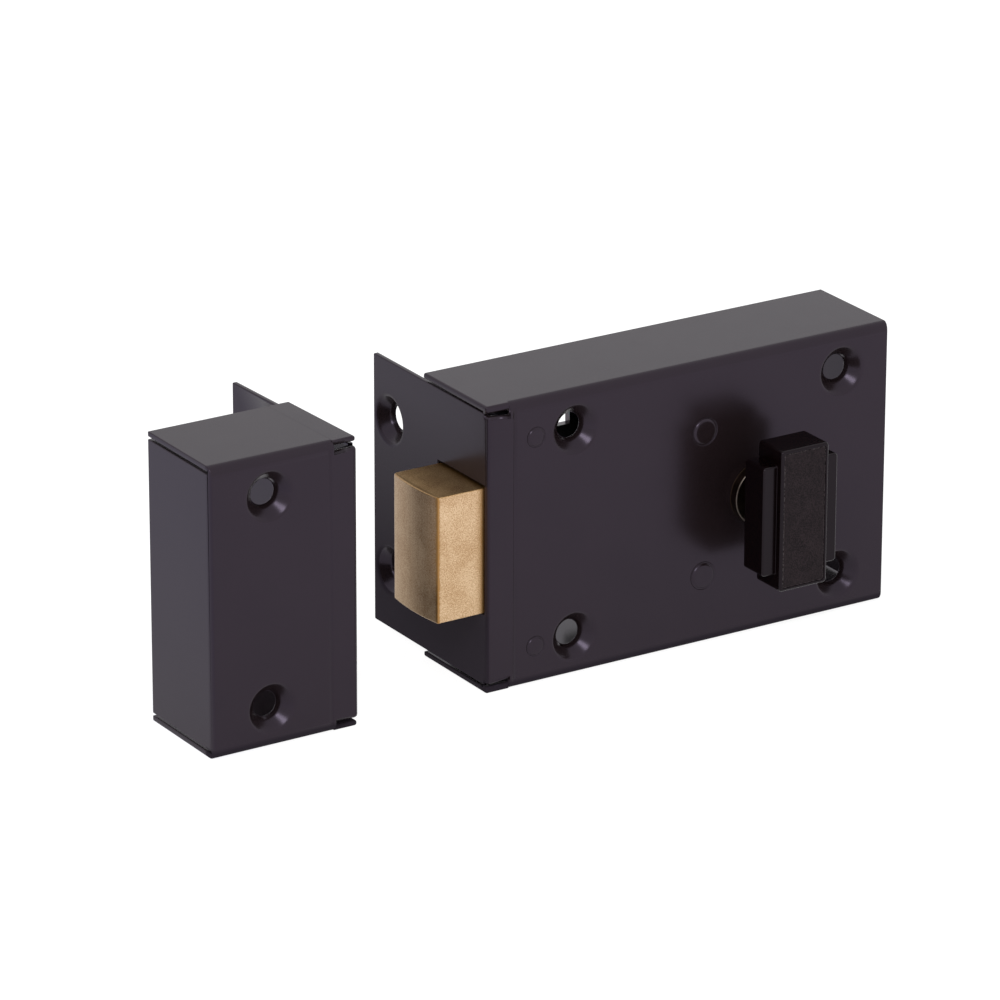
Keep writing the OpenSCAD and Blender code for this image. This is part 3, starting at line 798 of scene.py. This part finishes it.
    def onLip(m):
        return lipXs[0] < m.x < lipXs[1] and abs(m.z) > roll - overlap and lipYs[0] < m.y < lipYs[1]

    softenSheet(box, sheet["edge"], sheet["edgeLimit"], onLip)
    return box


caseSpec = {
    "flangeX": -58.0, "towards": 1, "length": 87.0, "rolled": True, "notchFall": 1.15, "lean": 0,
    "grooveU": 5.7, "window": {"y": (-20.56, -4.95), "halfZ": 12.4},
    "faceScrews": [(-39.5, -20), (-39.5, 20), (18.5, -20), (18.5, 20)],
    "flangeScrews": [(11.9, -14.7), (11.9, 14.7)],
    "holes": [(0, 0, 5.05), (-47.9, 20.1, 1.85), (-47.9, -20.1, 1.85), (-11.6, 14.05, 2.62),
              (-11.6, -14.05, 2.62)],
}
caseShell = foldedBox(caseSpec)
dress(caseShell, "caseShell", paint, "case", "painted_sheet", "case_cover")

# The keeper's side wall and flange spring open by the lean

keeperSpec = {
    "flangeX": -85.0, "towards": -1, "length": 29.8, "rolled": False, "notchFall": 0.2, "lean": 1.7,
    "grooveU": 5.7, "window": {"y": (-20.75, -3.8), "halfZ": 13.55},
    "faceScrews": [(-102.9, -20), (-102.9, 20)],
    "flangeScrews": [(11.9, -14.7), (11.9, 14.7)],
    "holes": [],
}
keeperShell = foldedBox(keeperSpec)
dress(keeperShell, "keeperShell", paint, "case", "painted_sheet", "keeper_cover")

# The pillars, whose staked ends show on the face and carry its paint

pillarSoft = {"width": 0.02, "limit": 70, "steps": 1}
pillarEnd = [(1.75, 20.5), (1.75, 21.9), (1.65, 22.0), (0, 22.0)]
leftPillar = {"x": -47.9, "z": 20.1, "profile": [
    (0, -0.15), (1.28, -0.15), (1.46, -0.13), (1.58, -0.07), (1.65, 0.02), (1.70, 0.07), (1.78, 0.07),
    (1.86, 0.01), (1.90, 0.02), (1.88, 0.20), (1.75, 0.20), (1.75, 2.5), (2.9, 2.5), (3.0, 2.6), (3.0, 20.4),
    (2.9, 20.5), *pillarEnd,
]}
midPillar = {"x": -11.6, "z": 14.05, "profile": [
    (0, -0.12), (1.20, -0.15), (1.90, -0.19), (2.10, -0.17), (2.24, -0.10), (2.32, 0.01), (2.38, 0.07),
    (2.46, 0.07), (2.56, 0.01), (2.66, 0.02), (2.64, 0.20), (2.5, 0.20), (2.5, 1.0), (3.6, 1.0), (3.7, 1.1),
    (3.7, 7.3), (3.0, 7.3), (3.0, 10.9), (3.7, 10.9), (3.7, 20.4), (3.6, 20.5), *pillarEnd,
]}


def pillars(spec):
    pair = []
    for side in (-1, 1):
        pair.append(lathe(spec["profile"], (spec["x"], -sheet["depth"], side * spec["z"]), steps=48))
    both = joinTo(*pair)
    soften(both, **pillarSoft)
    return both


dress(pillars(leftPillar), "leftPillars", paint, "case", "turned_steel", "left_posts")
dress(pillars(midPillar), "midPillars", paint, "case", "turned_steel", "mid_posts")

# The bolt, with a slightly crowned nose and a slot for its tail

boltSpec = {
    "corner": -67.65, "crown": 0.65, "crownSteps": 24, "rear": -42.0, "front": -20.5, "back": -5.3,
    "low": -12.13, "high": 11.95, "noseEdge": 0.8, "noseSteps": 5,
    "soft": {"width": 0.24, "limit": 25, "steps": 3},
    "tail": {"x": -54.0, "y": (-14.4, -11.4), "halfZ": 10.95},
    "rivetX": -48.0, "rivetZ": 6.0, "rivetRadius": 1.5, "rivetSides": 48,
}


def boltBlock(spec):
    front, back, low, high, rear = (spec[k] for k in ("front", "back", "low", "high", "rear"))
    middle = (front + back) / 2
    halfY = (back - front) / 2
    nose = (halfY ** 2 + spec["crown"] ** 2) / (2 * spec["crown"])
    sweep = math.asin(halfY / nose)
    centreX = spec["corner"] - spec["crown"] + nose
    points = [(rear, front, low)]
    for i in range(spec["crownSteps"] + 1):
        angle = -sweep + 2 * sweep * i / spec["crownSteps"]
        points.append((centreX - nose * math.cos(angle), middle + nose * math.sin(angle), low))
    points.append((rear, back, low))
    block = drawBlock(points, (0, 0, high - low))

    def isNoseRear(a, b):
        return alongAxis(a, b, 2) and a.x < spec["corner"] + slack and a.y > back - slack

    roundEdges(block, isNoseRear, spec["noseEdge"], spec["noseSteps"])
    tail = spec["tail"]
    cut(block, addBox((tail["x"], rear + past), tail["y"], (-tail["halfZ"], tail["halfZ"])))
    for side in (-1, 1):
        rivetEnds = (front - past, back + past)
        spot = (spec["rivetX"], side * spec["rivetZ"])
        cut(block, addRod(spot, spec["rivetRadius"], rivetEnds, sides=spec["rivetSides"]))
    soften(block, **spec["soft"])
    return block


dress(boltBlock(boltSpec), "boltBlock", brass, "bolt", "bolt_brass", "bolt_head")

# The knob: a bar between two lower wings, on a round neck with bores for its screw and spindle

knobSpec = {
    "bar": (5.2, 13.6), "wing": (8.15, 10.5), "front": -37.3, "wingFront": -35.9, "back": -30.0,
    "corner": 0.7, "barEdge": 0.42, "wingEdge": 0.36, "wingBehind": 0.02,
    "neckRadius": 3.6, "neckEnd": -17.8, "recess": (4.55, 12.98), "recessCorner": 0.4, "recessSteps": 4,
    "recessY": -36.7, "seatRadius": 2.35, "seatY": -35.3, "boreRadius": 1.35, "boreY": -33.5,
    "socket": 2.05, "soft": {"width": 0.09, "limit": 40, "steps": 2},
}


def knobBlock(half, front, back, corner, edge, cornerSteps=6, edgeSteps=4):
    block = addBox((-half[0], half[0]), (front, back), (-half[1], half[1]))
    roundEdges(block, lambda a, b: alongAxis(a, b, 1), corner, cornerSteps)
    roundEdges(block, lambda a, b: max(a.y, b.y) < front + slack, edge, edgeSteps)
    return block


def knobGrip(spec):
    back = spec["back"]
    grip = knobBlock(spec["bar"], spec["front"], back, spec["corner"], spec["barEdge"])
    wingBack = back - spec["wingBehind"]
    combine(grip, knobBlock(spec["wing"], spec["wingFront"], wingBack, spec["corner"], spec["wingEdge"]))
    combine(grip, addRod((0, 0), spec["neckRadius"], (back - past, spec["neckEnd"])))
    width, height = spec["recess"]
    recess = addBox((-width, width), (spec["front"] - past, spec["recessY"]), (-height, height))
    roundEdges(recess, lambda a, b: alongAxis(a, b, 1), spec["recessCorner"], spec["recessSteps"])
    cut(grip, recess)
    cut(grip, addRod((0, 0), spec["seatRadius"], (spec["recessY"] - overlap, spec["seatY"])))
    cut(grip, addRod((0, 0), spec["boreRadius"], (spec["seatY"] - overlap, spec["boreY"])))
    socket = (-spec["socket"], spec["socket"])
    cut(grip, addBox(socket, (spec["boreY"], spec["neckEnd"] + past), socket))
    soften(grip, **spec["soft"])
    return grip


dress(knobGrip(knobSpec), "knobGrip", knobPlastic(knobLook), "knob", "knob_plastic", "knob_body")

smallSoft = {"width": 0.03, "limit": 60, "steps": 1}
panelSpec = {"half": (4.51, 12.94), "front": -37.24, "back": -36.7, "corner": 0.4, "edge": 0.14}
panel = knobBlock(**panelSpec)
soften(panel, **smallSoft)
dress(panel, "knobInlay", panelPlastic(panelLook), "knob", "panel_plastic", "knob_panel")

# The collar round the knob's neck

collarProfile = [
    (3.65, 4.0), (3.65, -1.70), (3.72, -1.84), (3.88, -1.90), (5.52, -1.90), (5.66, -1.86), (5.76, -1.77),
    (5.80, -1.63), (5.80, -0.18), (5.83, -0.07), (5.90, 0.0), (5.0, 0.0), (5.0, 3.9), (4.9, 4.0),
    (3.65, 4.0),
]
collar = lathe(collarProfile, (0, -sheet["depth"], 0), steps=96)
soften(collar, **smallSoft)
dress(collar, "neckCollar", collarBrass(collarLook), "case", "collar_brass", "knob_bush")

# The parts inside keep their CAD shapes

insideLooks = {
    "back_plate": plated, "bolt_guide": plated, "bolt_tail": plated, "bush_nut": steel,
    "hub_washer": steel, "spring_rivets": steel, "crank_pin": steel, "knob_spindle": steel,
    "spindle_pin": steel, "knob_screw": steel, "spring_washer": spring, "detent_spring": spring,
    "drive_hub": zinc, "bolt_rivets": brass,
}
for name, look in insideLooks.items():
    nodes[name].data.materials.clear()
    nodes[name].data.materials.append(look)
print("CAD nodes dressed:", len(insideLooks))

# Floor, light and camera

stageSpec = {
    "size": 6.0, "colour": (0.22, 0.22, 0.22, 1), "rough": 0.9, "shine": 0.0, "glow": 1.20,
    # the floor's glow is weaker near the lock and to its left: painted shade for the lock's sides to mirror
    "near": (0.73, 0.73, 0.73), "far": (0.82, 0.80, 0.84), "farY": (-30, -130),
    "left": (0.67, 0.67, 0.80), "leftX": (-100, -170), "world": 1.17,
}
bpy.ops.object.select_all(action="DESELECT")
bpy.ops.mesh.primitive_plane_add(size=stageSpec["size"], location=(0, 0, -sheet["halfHeight"] * mm))
floor = bpy.context.object
floor.name = "studioFloor"
floorShader = Shader("floorWhite", {
    "Base Color": stageSpec["colour"], "Roughness": stageSpec["rough"],
    "Specular IOR Level": stageSpec["shine"], "Emission Strength": stageSpec["glow"],
})
# the floor's glow is painted light: weaker round and behind the lock, weaker still to its left as painted
# shade, and stronger out in front
away = floorShader.over(floorShader.axis("Y"), stageSpec["farY"])
leftward = floorShader.over(floorShader.axis("X"), stageSpec["leftX"]) * (1.0 - away)
glow = floorShader.mix(away, stageSpec["near"], stageSpec["far"])
glow = floorShader.mix(leftward, glow, stageSpec["left"])
floorShader.feed(floorShader.surface.inputs["Emission Color"], glow)
floor.data.materials.append(floorShader.material)

world = bpy.data.worlds.new("studio")
bpy.context.scene.world = world
world.use_nodes = True
background = world.node_tree.nodes["Background"]
background.inputs["Color"].default_value = (1.0, 1.0, 1.0, 1)
background.inputs["Strength"].default_value = stageSpec["world"]

# The lamp's places and size are in metres

lampSpec = {"spot": (-0.58, -0.66, 0.68), "aim": (-0.045, -0.01, 0.0), "size": 0.34, "power": 3.7}
lampWay = Vector(lampSpec["aim"]) - Vector(lampSpec["spot"])
lampTurn = lampWay.to_track_quat("-Z", "Y").to_euler()
bpy.ops.object.light_add(type="AREA", location=lampSpec["spot"], rotation=lampTurn)
lamp = bpy.context.object
lamp.name = "softLamp"
lamp.data.size = lampSpec["size"]
lamp.data.energy = lampSpec["power"]

cameraSpec = {
    "azimuth": 32.32, "elevation": 21.0, "roll": 0.14, "aim": (-48.6, -11.0, 4.7), "distance": 1166.0,
    "lens": 232.85, "sensor": 36, "clip": (0.05, 20),
}
azimuth = math.radians(cameraSpec["azimuth"])
elevation = math.radians(cameraSpec["elevation"])
flat = math.cos(elevation)
back = Vector((-math.sin(azimuth) * flat, -math.cos(azimuth) * flat, math.sin(elevation)))
spot = (Vector(cameraSpec["aim"]) + back * cameraSpec["distance"]) * mm
turn = (-back).to_track_quat("-Z", "Y") @ Quaternion((0, 0, 1), math.radians(cameraSpec["roll"]))
bpy.ops.object.camera_add(location=spot, rotation=turn.to_euler())
camera = bpy.context.object
camera.name = "viewCamera"
camera.data.lens = cameraSpec["lens"]
camera.data.sensor_width = cameraSpec["sensor"]
camera.data.clip_start, camera.data.clip_end = cameraSpec["clip"]
bpy.context.scene.camera = camera
bpy.context.scene.view_settings.view_transform = "Standard"
print("stage, light and camera set")
